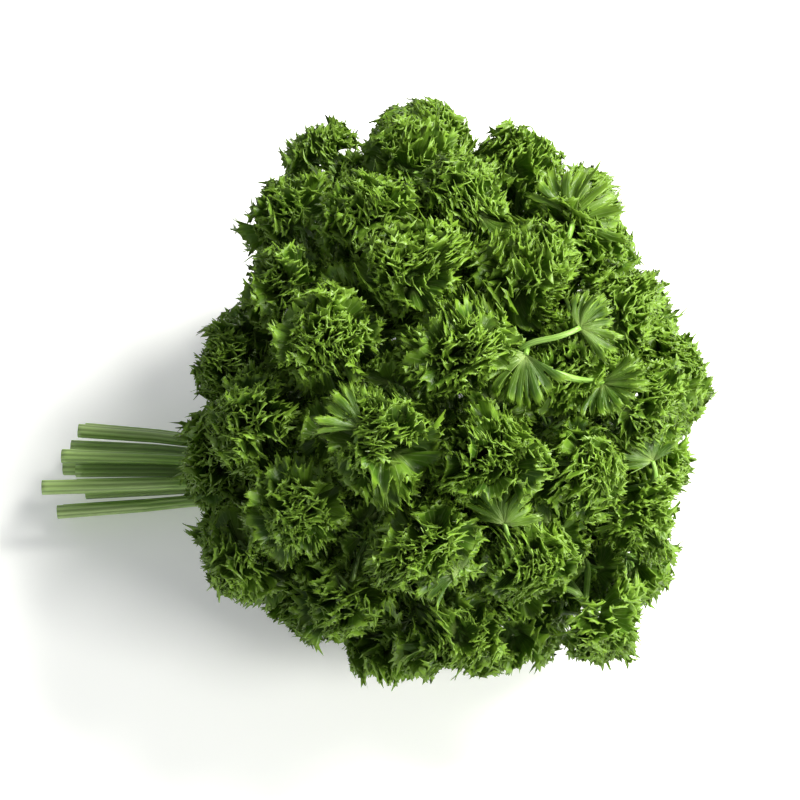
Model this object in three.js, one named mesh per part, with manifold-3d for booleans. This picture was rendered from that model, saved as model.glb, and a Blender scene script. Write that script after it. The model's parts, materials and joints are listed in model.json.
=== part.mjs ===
// A cut bunch of curly parsley lying on its side, as three.js meshes: one mesh for each leafy stem.
// Millimetres, +Z up. The cut stem ends point to -X and the leafy head to +X. The origin is on the
// surface that the bunch lies on, under the middle of its bounding box.
import * as THREE from "three";
import { mergeVertices } from "three/addons/utils/BufferGeometryUtils.js";
import Module from "manifold-3d";

const wasm = await Module();
wasm.setup();

const vector = (x, y, z) => new THREE.Vector3(x, y, z);

// The leafy head is an egg that the surface flattens underneath.
const HEAD_CENTRE = vector(21, 0, 59);
const HEAD_HALF = vector(73, 85, 59); // from the centre to the middles of the leaflets
const HEAD_AXIS_RISE = 38; // degrees by which the head's own axis climbs towards its far end
const LOWEST_LEAFLET = 9; // height of a leaflet's middle where the bunch presses on the surface
const PRESSED = 0.8; // the lowest teeth and stems are pressed flat by this much

// The head's outline from above the front swells and is notched. Each row: the angle in that view,
// counter-clockwise from the right, the push as a share of the head's size, and the width in degrees.
const OUTLINE_TILT = 24; // degrees by which the outline's plane climbs towards the back
const SWELLINGS = [
  { turn: 2, push: 0.08, width: 11 },
  { turn: 31, push: -0.19, width: 17 },
  { turn: 58, push: 0.09, width: 10 },
  { turn: 77, push: -0.15, width: 9 },
  { turn: 94, push: 0.05, width: 8 },
  { turn: 124, push: 0.14, width: 15 },
  { turn: 154, push: -0.24, width: 19 },
  { turn: 214, push: 0.12, width: 18 },
  { turn: 307, push: 0.14, width: 14 },
  { turn: 335, push: -0.13, width: 14 },
];

// The stems lie side by side in a slightly flattened bundle.
const BUNDLE_CENTRE_Z = 13.2;
const BUNDLE_FLATNESS = 0.76;
const BUNDLE_RADII = [0, 5.9, 10.7]; // at the neck, one for each ring of stems
const SPLAY_AT_CUT = 1.38;
const NECK_X = -50;
const STEM_RADIUS = 2.15;
const STEM_THIN_SHARE = 0.5; // radius at the crown as a share of that at the cut
const STEM_SIDES = 6;
const STEM_STEPS = 8;
const BRANCH_RADIUS = 0.95;
const BRANCH_SIDES = 4;
const BRANCH_STEPS = 2;
const BRANCH_BOW = 4;
const NECK_LEAD = 0.42; // how far a stem aims straight on past the neck, as a share of the way to its crown
const FORK_STEPS = [6, 7]; // steps of the stem at which side branches leave

// A leaflet is one blade, pleated all round its own stalk, with a toothed edge.
const LEAFLET_REACH = 16.8; // from the root to the tips
const BLADE_THICKNESS = 1.2; // at the edge
const PLEATS = 7;
const STATIONS_PER_PLEAT = 4; // tips and notches along the edge, by turns
const INNER_FOLD = 26; // degrees off the leaflet's axis
const OUTER_FOLD = 76;
const FOLD_VARIATION = 12;
const NOTCH_SHARE = 0.84;
const COLLAR_SHARE = 0.2; // where the pleats start, as a share of the reach
const ROOT_DEPTH = 0.7; // how far a stalk runs into its leaflet

// Under the leaflets of each stem sits a small pleated core of crowded inner leaves.
const CORE_HALF = vector(15, 15, 11);
const CORE_DEPTH = 14; // from the core's middle to the end of the stem
const CORE_PLEATS = 6;

const LEAFLET_CLEARANCE = 0.5;
const SAME_STEM_CROWDING = 1; // leaflets of one stem may press into each other
const COHESION = 0.008; // share of the way to the crown's middle that a leaflet moves in each pass
const PASSES = 300;

// Each crown: ring of the bundle, angle round the head's axis (0 is up, 90 is away from the front),
// angle off that axis, reach as a share of the head's size, leaflets, and the x of its stem's cut.
const CROWNS = [
  { ring: 0, around: 300, polar: 6, reach: 1.0, leaflets: 5, cutX: -96 },
  { ring: 1, around: 10, polar: 56, reach: 1.02, leaflets: 5, cutX: -100 },
  { ring: 1, around: 80, polar: 58, reach: 1.0, leaflets: 5, cutX: -98 },
  { ring: 1, around: 150, polar: 55, reach: 1.03, leaflets: 4, cutX: -101 },
  { ring: 1, around: 222, polar: 56, reach: 1.07, leaflets: 5, cutX: -93 },
  { ring: 1, around: 292, polar: 60, reach: 1.0, leaflets: 5, cutX: -95 },
  { ring: 2, around: 354, polar: 106, reach: 0.98, leaflets: 5, cutX: -99 },
  { ring: 2, around: 40, polar: 108, reach: 1.0, leaflets: 5, cutX: -95 },
  { ring: 2, around: 85, polar: 106, reach: 1.02, leaflets: 4, cutX: -94 },
  { ring: 2, around: 130, polar: 104, reach: 1.0, leaflets: 4, cutX: -99 },
  { ring: 2, around: 176, polar: 98, reach: 0.98, leaflets: 3, cutX: -97 },
  { ring: 2, around: 226, polar: 100, reach: 0.98, leaflets: 3, cutX: -100 },
  { ring: 2, around: 262, polar: 106, reach: 1.02, leaflets: 5, cutX: -101 },
  { ring: 2, around: 312, polar: 108, reach: 1.0, leaflets: 5, cutX: -105 },
];
const CROWN_SPREAD = 25; // degrees from a crown's middle to its side leaflets

// Brings the middle of the bunch's bounding box over the origin, and the surface to z = 0.
const CENTRE_SHIFT = vector(1.9, 0.5, -PRESSED);

const LEAF_GREEN = 0x4f7f22;

// A repeatable draw from 0 to 1 for two whole numbers.
function draw(a, b) {
  const wave = Math.sin(a * 127.1 + b * 311.7 + 74.7) * 43758.5453;
  return wave - Math.floor(wave);
}

const radians = THREE.MathUtils.degToRad;

// The direction at an angle off the head's axis and an angle round it.
function headDirection(polar, around) {
  const rise = radians(HEAD_AXIS_RISE);
  const axis = vector(Math.cos(rise), 0, Math.sin(rise));
  const up = vector(-Math.sin(rise), 0, Math.cos(rise));
  const away = vector(0, 1, 0);
  const side = up.multiplyScalar(Math.cos(radians(around)));
  side.addScaledVector(away, Math.sin(radians(around)));
  return axis
    .multiplyScalar(Math.cos(radians(polar)))
    .addScaledVector(side, Math.sin(radians(polar)));
}

// The direction at an angle off another direction, turned round it.
function tiltedFrom(direction, angle, turn) {
  const helper = Math.abs(direction.z) < 0.9 ? vector(0, 0, 1) : vector(1, 0, 0);
  const across = direction.clone().cross(helper).normalize();
  const tilted = direction.clone().applyAxisAngle(across, radians(angle));
  return tilted.applyAxisAngle(direction, radians(turn));
}

// The head's size in a direction, as a share of the plain egg.
function swelling(unit) {
  let share = 1;
  for (const { turn, push, width } of SWELLINGS) {
    const middle = vector(Math.cos(radians(turn)), Math.sin(radians(turn)), 0);
    middle.applyAxisAngle(vector(1, 0, 0), radians(OUTLINE_TILT));
    share += push * Math.exp(-((unit.angleTo(middle) / radians(width)) ** 2));
  }
  return share;
}

// Puts a leaflet's middle back on the head's surface, above the ground and clear of the bundle of stems.
function settle(leaflet) {
  const unit = leaflet.middle.clone().sub(HEAD_CENTRE).divide(HEAD_HALF).normalize();
  const share = leaflet.reach * swelling(unit);
  leaflet.middle.copy(unit).multiply(HEAD_HALF).multiplyScalar(share).add(HEAD_CENTRE);
  leaflet.middle.z = Math.max(leaflet.middle.z, LOWEST_LEAFLET);
  if (leaflet.middle.x < NECK_X + 25) {
    const off = vector(0, leaflet.middle.y, leaflet.middle.z - BUNDLE_CENTRE_Z);
    const room = BUNDLE_RADII[2] + STEM_RADIUS + leaflet.radius + 1;
    if (off.length() < room) {
      off.setLength(room);
      leaflet.middle.y = off.y;
      leaflet.middle.z = Math.max(BUNDLE_CENTRE_Z + off.z, LOWEST_LEAFLET);
    }
  }
}

// Moves each leaflet a little towards the middle of its own crown.
function drawTogether(leaflets) {
  CROWNS.forEach((crown, c) => {
    const own = leaflets.filter((leaflet) => leaflet.crown === c);
    const middle = vector(0, 0, 0);
    own.forEach((leaflet) => middle.addScaledVector(leaflet.middle, 1 / own.length));
    own.forEach((leaflet) => leaflet.middle.lerp(middle, COHESION));
  });
}

// Spreads the leaflets over the head until those of different stems are clear of each other.
function layOutLeaflets() {
  const leaflets = [];
  CROWNS.forEach((crown, c) => {
    const outward = headDirection(crown.polar, crown.around);
    for (let k = 0; k < crown.leaflets; k++) {
      const turn = (360 * k) / (crown.leaflets - 1) + 360 * draw(c, 1);
      const spread = k === 0 ? 0 : CROWN_SPREAD * (0.9 + 0.25 * draw(c, 10 + k));
      const direction = tiltedFrom(outward, spread, turn);
      const size = 0.93 + 0.14 * draw(c, 20 + k);
      leaflets.push({
        crown: c,
        reach: crown.reach * (k === 0 ? 1.03 : 0.97 + 0.05 * draw(c, 30 + k)),
        length: LEAFLET_REACH * size,
        radius: LEAFLET_REACH * size * Math.sin(radians(OUTER_FOLD)),
        middle: direction.multiply(HEAD_HALF).add(HEAD_CENTRE),
        seed: c * 10 + k,
      });
    }
  });
  const gap = vector(0, 0, 0);
  for (let pass = 0; pass < PASSES; pass++) {
    const grown = Math.min(1, 0.5 + pass / PASSES);
    leaflets.forEach(settle);
    drawTogether(leaflets);
    leaflets.forEach((one, i) => {
      for (const other of leaflets.slice(i + 1)) {
        const touch = grown * (one.radius + other.radius);
        const room = one.crown === other.crown ? touch * SAME_STEM_CROWDING : touch + LEAFLET_CLEARANCE;
        gap.subVectors(other.middle, one.middle);
        const short = room - gap.length();
        if (short > 0) {
          gap.setLength(short / 2);
          one.middle.sub(gap);
          other.middle.add(gap);
        }
      }
    });
  }
  for (const leaflet of leaflets) {
    leaflet.axis = leaflet.middle.clone().sub(HEAD_CENTRE).divide(HEAD_HALF).divide(HEAD_HALF).normalize();
    leaflet.root = leaflet.middle.clone().addScaledVector(leaflet.axis, -0.5 * leaflet.length);
  }
  return leaflets;
}

// The place of a stem in the bundle, at its cut end and at the neck.
function bundlePoint(crown, x, splay) {
  const radius = BUNDLE_RADII[crown.ring] * splay;
  const turn = radians(crown.around);
  return vector(x, radius * Math.sin(turn), BUNDLE_CENTRE_Z + radius * BUNDLE_FLATNESS * Math.cos(turn));
}

// A tube of few sides along a curve, thinning evenly to a share of its radius.
function tubeGeometry(curve, radius, sides, steps, thinShare) {
  const section = new THREE.Shape();
  for (let k = 0; k < sides; k++) {
    const turn = (2 * Math.PI * k) / sides;
    const x = radius * Math.cos(turn);
    const y = radius * Math.sin(turn);
    if (k === 0) section.moveTo(x, y);
    else section.lineTo(x, y);
  }
  section.closePath();
  const tube = new THREE.ExtrudeGeometry(section, { steps, extrudePath: curve, bevelEnabled: false });
  const centres = curve.getSpacedPoints(steps);
  const point = vector(0, 0, 0);
  const position = tube.attributes.position;
  for (let v = 0; v < position.count; v++) {
    point.fromBufferAttribute(position, v);
    let nearest = 0;
    centres.forEach((centre, s) => {
      if (centre.distanceTo(point) < centres[nearest].distanceTo(point)) nearest = s;
    });
    const share = 1 + ((thinShare - 1) * nearest) / steps;
    point.sub(centres[nearest]).multiplyScalar(share).add(centres[nearest]);
    position.setXYZ(v, point.x, point.y, point.z);
  }
  return tube;
}

// The direction of a leaflet's edge in its own frame, at a share of the way round.
function edgeDirection(leaflet, share) {
  const pleat = Math.floor(share * PLEATS + 0.5) % PLEATS;
  const wave = Math.sqrt(0.5 + 0.5 * Math.cos(2 * Math.PI * PLEATS * share));
  const variation = FOLD_VARIATION * (draw(leaflet.seed, 40 + pleat) - 0.5);
  const fold = THREE.MathUtils.lerp(INNER_FOLD, OUTER_FOLD + variation, wave);
  const turn = 2 * Math.PI * (share + draw(leaflet.seed, 1));
  return vector(Math.cos(turn), Math.sin(turn), 0)
    .multiplyScalar(Math.sin(radians(fold)))
    .setZ(Math.cos(radians(fold)));
}

// One leaflet in its own frame: the root at the origin and the axis along +Z. A plain collar leaves the
// root, and from it the pleats deepen towards the teeth.
function leafletGeometry(leaflet) {
  const stations = PLEATS * STATIONS_PER_PLEAT;
  const positions = [0, 0, -0.8 * BLADE_THICKNESS, 0, 0, 0.8 * BLADE_THICKNESS];
  const addPair = (share, reach) => {
    const point = edgeDirection(leaflet, share);
    const ahead = edgeDirection(leaflet, share + 0.4 / stations);
    const behind = edgeDirection(leaflet, share - 0.4 / stations);
    const across = point.clone().cross(ahead.sub(behind)).setLength(BLADE_THICKNESS / 2);
    point.multiplyScalar(reach);
    positions.push(...point.clone().sub(across), ...point.clone().add(across));
  };
  for (let i = 0; i < PLEATS; i++) addPair(i / PLEATS, leaflet.length * COLLAR_SHARE);
  for (let j = 0; j < stations; j++) {
    const unevenness = 0.93 + 0.07 * draw(leaflet.seed, 60 + j);
    addPair(j / stations, leaflet.length * (j % 2 ? NOTCH_SHARE : 1) * unevenness);
  }
  const index = [];
  const half = STATIONS_PER_PLEAT / 2;
  const collar = (i) => 2 + 2 * (i % PLEATS);
  const edge = (j) => 2 + 2 * PLEATS + 2 * ((j + stations) % stations);
  const addOnBothFaces = (a, b, c) => index.push(a, c, b, a + 1, b + 1, c + 1);
  for (let i = 0; i < PLEATS; i++) {
    const valley = edge(i * STATIONS_PER_PLEAT + half);
    addOnBothFaces(0, collar(i), collar(i + 1));
    addOnBothFaces(collar(i), valley, collar(i + 1));
    for (let j = i * STATIONS_PER_PLEAT - half; j < i * STATIONS_PER_PLEAT + half; j++) {
      addOnBothFaces(collar(i), edge(j), edge(j + 1));
      index.push(edge(j), edge(j + 1), edge(j) + 1, edge(j) + 1, edge(j + 1), edge(j + 1) + 1);
    }
  }
  const geometry = new THREE.BufferGeometry();
  geometry.setAttribute("position", new THREE.Float32BufferAttribute(positions, 3));
  return geometry.setIndex(index);
}

// The core of one stem: a low dome with folds all round, its axis along +Z.
function coreGeometry(size) {
  const core = new THREE.SphereGeometry(1, 2 * CORE_PLEATS, 3);
  const position = core.attributes.position;
  const point = vector(0, 0, 0);
  for (let v = 0; v < position.count; v++) {
    point.fromBufferAttribute(position, v).applyAxisAngle(vector(1, 0, 0), Math.PI / 2);
    const fold = 0.86 + 0.14 * Math.cos(CORE_PLEATS * Math.atan2(point.y, point.x));
    point.x *= fold;
    point.y *= fold;
    point.multiply(CORE_HALF).multiplyScalar(size);
    position.setXYZ(v, point.x, point.y, point.z);
  }
  return core;
}

// A manifold-3d solid of a closed three.js geometry, moved by a matrix.
function solidFrom(geometry, matrix = new THREE.Matrix4()) {
  const plain = new THREE.BufferGeometry();
  plain.setAttribute("position", geometry.getAttribute("position").clone());
  plain.setIndex(geometry.index);
  plain.applyMatrix4(matrix);
  const merged = mergeVertices(plain, 1e-4);
  const solid = new wasm.Manifold(
    new wasm.Mesh({
      numProp: 3,
      vertProperties: merged.attributes.position.array,
      triVerts: new Uint32Array(merged.index.array),
    }),
  );
  if (solid.volume() <= 0) throw new Error("a solid is inside out");
  return solid;
}

function geometryFrom(solid) {
  const mesh = solid.getMesh();
  const geometry = new THREE.BufferGeometry();
  geometry.setAttribute("position", new THREE.BufferAttribute(mesh.vertProperties, 3));
  geometry.setIndex(new THREE.BufferAttribute(mesh.triVerts, 1));
  geometry.computeVertexNormals();
  return geometry;
}

// One leafy stem: its stalk, the side branches and the leaflets at their ends, fused.
function leafyStem(crown, leaflets) {
  const cut = bundlePoint(crown, crown.cutX, SPLAY_AT_CUT);
  const neck = bundlePoint(crown, NECK_X, 1);
  const crownMiddle = vector(0, 0, 0);
  leaflets.forEach((leaflet) => crownMiddle.addScaledVector(leaflet.root, 1 / leaflets.length));
  const lead = neck.clone().add(vector(NECK_LEAD * neck.distanceTo(crownMiddle), 0, 0));
  const inHead = new THREE.QuadraticBezierCurve3(neck, lead, crownMiddle);
  const midBundle = bundlePoint(crown, (crown.cutX + NECK_X) / 2, (1 + SPLAY_AT_CUT) / 2);
  const terminal = leaflets[0].root.clone().addScaledVector(leaflets[0].axis, ROOT_DEPTH);
  const stemPath = new THREE.CatmullRomCurve3(
    [cut, midBundle, neck, inHead.getPoint(0.3), inHead.getPoint(0.6), inHead.getPoint(0.8), terminal],
    false,
    "centripetal",
  );
  let solid = solidFrom(tubeGeometry(stemPath, STEM_RADIUS, STEM_SIDES, STEM_STEPS, STEM_THIN_SHARE));
  const forks = FORK_STEPS.map((step) => stemPath.getPointAt(step / STEM_STEPS));
  const coreTurn = new THREE.Quaternion().setFromUnitVectors(vector(0, 0, 1), leaflets[0].axis);
  const coreMiddle = stemPath.getPointAt(1 - CORE_DEPTH / stemPath.getLength());
  const core = coreGeometry(Math.min(1, crown.leaflets / 5));
  solid = solid.add(solidFrom(core, new THREE.Matrix4().compose(coreMiddle, coreTurn, vector(1, 1, 1))));
  leaflets.forEach((leaflet, k) => {
    const turn = new THREE.Quaternion().setFromUnitVectors(vector(0, 0, 1), leaflet.axis);
    const place = new THREE.Matrix4().compose(leaflet.root, turn, vector(1, 1, 1));
    solid = solid.add(solidFrom(leafletGeometry(leaflet), place));
    if (k === 0) return;
    const fork = forks[k % 2];
    const end = leaflet.root.clone().addScaledVector(leaflet.axis, ROOT_DEPTH);
    const bend = fork.clone().lerp(end, 0.5).addScaledVector(stemPath.getTangentAt(0.85), BRANCH_BOW);
    const branch = new THREE.QuadraticBezierCurve3(fork, bend, end);
    solid = solid.add(solidFrom(tubeGeometry(branch, BRANCH_RADIUS, BRANCH_SIDES, BRANCH_STEPS, 0.8)));
  });
  return solid;
}

// What the surface presses flat, as one block to cut away.
function belowSurface() {
  const block = new THREE.BoxGeometry(400, 400, 60);
  return solidFrom(block, new THREE.Matrix4().makeTranslation(0, 0, PRESSED - 30));
}

const bunch = new THREE.Group();
const leaflets = layOutLeaflets();
const ground = belowSurface();
CROWNS.forEach((crown, c) => {
  const own = leaflets.filter((leaflet) => leaflet.crown === c);
  const solid = leafyStem(crown, own).subtract(ground);
  const material = new THREE.MeshStandardMaterial({ color: LEAF_GREEN, roughness: 0.45, metalness: 0 });
  const mesh = new THREE.Mesh(geometryFrom(solid), material);
  mesh.name = "leafy_stem_" + String(c + 1).padStart(2, "0");
  bunch.add(mesh);
});
bunch.position.copy(CENTRE_SHIFT);

export default bunch;
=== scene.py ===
"""Curly parsley bunch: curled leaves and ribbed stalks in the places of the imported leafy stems.

Shapes are worked out in millimetres in the frame of the part's source and written in metres.
"""
import json
import logging
import math
from dataclasses import dataclass, field
from enum import Enum
from typing import Callable, Sequence

import bmesh
import bpy
import numpy as np
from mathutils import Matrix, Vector

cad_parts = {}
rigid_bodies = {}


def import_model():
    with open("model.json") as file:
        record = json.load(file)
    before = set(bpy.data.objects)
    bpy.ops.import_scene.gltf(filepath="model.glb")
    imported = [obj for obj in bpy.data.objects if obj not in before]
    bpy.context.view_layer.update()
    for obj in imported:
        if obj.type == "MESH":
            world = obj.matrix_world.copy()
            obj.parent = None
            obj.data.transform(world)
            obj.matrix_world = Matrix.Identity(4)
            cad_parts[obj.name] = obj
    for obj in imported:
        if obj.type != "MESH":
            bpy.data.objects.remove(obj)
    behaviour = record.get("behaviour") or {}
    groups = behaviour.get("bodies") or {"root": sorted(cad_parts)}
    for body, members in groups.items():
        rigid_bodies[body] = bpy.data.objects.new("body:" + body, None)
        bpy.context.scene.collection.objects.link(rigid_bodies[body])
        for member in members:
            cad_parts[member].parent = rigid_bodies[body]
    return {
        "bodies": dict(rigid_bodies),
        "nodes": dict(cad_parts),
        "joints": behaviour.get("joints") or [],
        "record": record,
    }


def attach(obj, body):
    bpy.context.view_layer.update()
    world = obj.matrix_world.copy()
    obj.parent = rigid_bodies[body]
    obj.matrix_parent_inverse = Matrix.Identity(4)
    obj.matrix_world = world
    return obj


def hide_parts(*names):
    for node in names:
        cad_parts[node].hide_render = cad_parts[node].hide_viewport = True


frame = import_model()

log = logging.getLogger("parsley")

METRE = 0.001  # metres in a millimetre
CENTRE_SHIFT = np.array([1.9, 0.5, -0.8])  # from the source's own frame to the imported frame
INNER = 10  # leaflet numbers from here on are small ones between and below the others
GOLDEN_TURN = 2.399963  # radians from one place to the next in an even spread over a ball
LEAST_HEIGHT = 0.0003  # no leaf or stalk comes nearer to the table than this, in metres
LIFT_HEIGHT = 0.0012  # below this height, in metres, leaves and stalks are lifted softly
SLOW_WAVES = (  # ways in radians a millimetre, and starts, of the waves that make the tufts uneven
    ((0.05, 0.17, 0.13), 0.7),
    ((0.16, 0.04, -0.15), 2.1),
    ((-0.13, 0.16, 0.06), 4.4),
)
SWAY = 1.8  # how far those waves move a leaf, in millimetres

Formula = Callable[[np.ndarray, np.ndarray], np.ndarray]
Triple = tuple[float, float, float]
Bulge = tuple[float, float, float, float, float]  # a unit direction, a push and a width in radians
Frame = tuple[np.ndarray, np.ndarray, np.ndarray, np.ndarray]  # apex, forward, across and thickness
Socket = bpy.types.NodeSocket


def draw(a: float, b: float) -> float:
    """A repeatable draw from 0 to 1 for two whole numbers."""
    wave = math.sin(a * 127.1 + b * 311.7 + 74.7) * 43758.5453
    return wave - math.floor(wave)


def unit(vector: np.ndarray) -> np.ndarray:
    """The vector at length one."""
    return vector / np.linalg.norm(vector)


def turned(vector: np.ndarray, axis: np.ndarray, degrees: float) -> np.ndarray:
    """The vector turned about a unit axis.

    Args:
        vector: What is turned.
        axis: Unit axis of the turn.
        degrees: Angle, counter-clockwise seen from the axis's tip.

    Returns:
        The turned vector.
    """
    angle = math.radians(degrees)
    return (
        vector * math.cos(angle)
        + np.cross(axis, vector) * math.sin(angle)
        + axis * np.dot(axis, vector) * (1 - math.cos(angle))
    )


def square_to(axis: np.ndarray) -> np.ndarray:
    """A unit vector square to a unit axis."""
    helper = np.array([0.0, 0.0, 1.0]) if abs(axis[2]) < 0.9 else np.array([1.0, 0.0, 0.0])
    return unit(np.cross(axis, helper))


@dataclass(frozen=True)
class Nudge:
    """A soft push of the leaves near a place, in millimetres."""

    place: Triple
    width: float
    move: Triple


NUDGES = [
    Nudge((94, -27, 57), 20, (-8, 0, 0)),
    Nudge((90, -54, 38), 17, (-6, 1, 0)),
    Nudge((-38, 48, 62), 19, (11, -1, 0)),
    Nudge((-52, 5, 65), 20, (4, 0, 0)),
    Nudge((2, 85, 73), 16, (-3, 2, 8)),
    Nudge((46, 85, 73), 15, (2, -4, -7)),
    Nudge((84, 36, 60), 17, (-4, -2, 0)),
    Nudge((-51, -34, 40), 15, (-5, 0, -2)),
    Nudge((-47, -51, 30), 13, (5, 2, 0)),
    Nudge((6, -87, 26), 19, (0, 5, 0)),
    Nudge((-22, -67, 26), 13, (1, 4, 1)),
    Nudge((20, 0, 131), 26, (0, 0, -3)),
    Nudge((14, -98, 59), 9, (0, 2.5, 0)),
]


def swayed(places: np.ndarray) -> np.ndarray:
    """The places moved by slow waves and by the nudges, less so towards the bundle of stalks.

    Args:
        places: Places in millimetres, one in each row.

    Returns:
        The moved places.
    """
    share = np.clip((places[:, 0] + 35) / 40, 0, 1)[:, None]
    waves = np.stack([np.sin(places @ np.array(way) + start) for way, start in SLOW_WAVES], axis=1)
    moved = places + SWAY * share * waves
    for nudge in NUDGES:
        off = np.linalg.norm(places - nudge.place, axis=1) / nudge.width
        moved = moved + np.exp(-off**2)[:, None] * nudge.move
    return moved


@dataclass(frozen=True)
class Swelling:
    """A bulge or notch of the head's outline, seen from above the front."""

    turn: float
    push: float
    width: float


@dataclass(frozen=True)
class Crown:
    """Where one leafy stem ends: its place in the bundle and on the head."""

    ring: int
    around: float
    polar: float
    reach: float
    leaflets: int
    cut_x: float


@dataclass
class Leaflet:
    """One leaflet: its stem, its size and its place."""

    crown: int
    number: int
    reach: float
    length: float
    radius: float
    middle: list[float]
    seed: int
    axis: np.ndarray = field(default_factory=lambda: np.zeros(3))
    root: np.ndarray = field(default_factory=lambda: np.zeros(3))
    towards: np.ndarray = field(default_factory=lambda: np.zeros(3))

    @classmethod
    def added(cls, crown: int, number: int, length: float, seed: int, root: np.ndarray,
              axis: np.ndarray) -> "Leaflet":
        """A leaflet whose place is known, so that it isn't settled with the others.

        Args:
            crown: The number of its stem.
            number: Its own number on the stem.
            length: Its length in millimetres.
            seed: Seed of its own chances.
            root: Where it grows from.
            axis: The unit direction that it grows in.

        Returns:
            The leaflet.
        """
        return cls(crown, number, 1.0, length, 0.0, [0.0, 0.0, 0.0], seed, axis, root)


CROWNS = [
    Crown(0, 300, 6, 1.0, 5, -96),
    Crown(1, 10, 56, 1.02, 5, -100),
    Crown(1, 80, 58, 1.0, 5, -98),
    Crown(1, 150, 55, 1.03, 4, -101),
    Crown(1, 222, 56, 1.07, 5, -93),
    Crown(1, 292, 60, 1.0, 5, -95),
    Crown(2, 354, 106, 0.98, 5, -99),
    Crown(2, 40, 108, 1.0, 5, -95),
    Crown(2, 85, 106, 1.02, 4, -94),
    Crown(2, 130, 104, 1.0, 4, -99),
    Crown(2, 176, 98, 0.98, 3, -97),
    Crown(2, 226, 100, 0.98, 3, -100),
    Crown(2, 262, 106, 1.02, 5, -101),
    Crown(2, 312, 108, 1.0, 5, -105),
]
SWELLINGS = [
    Swelling(2, 0.08, 11),
    Swelling(31, -0.19, 17),
    Swelling(58, 0.09, 10),
    Swelling(77, -0.15, 9),
    Swelling(94, 0.05, 8),
    Swelling(124, 0.14, 15),
    Swelling(154, -0.24, 19),
    Swelling(214, 0.12, 18),
    Swelling(307, 0.14, 14),
    Swelling(335, -0.13, 14),
]


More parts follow.
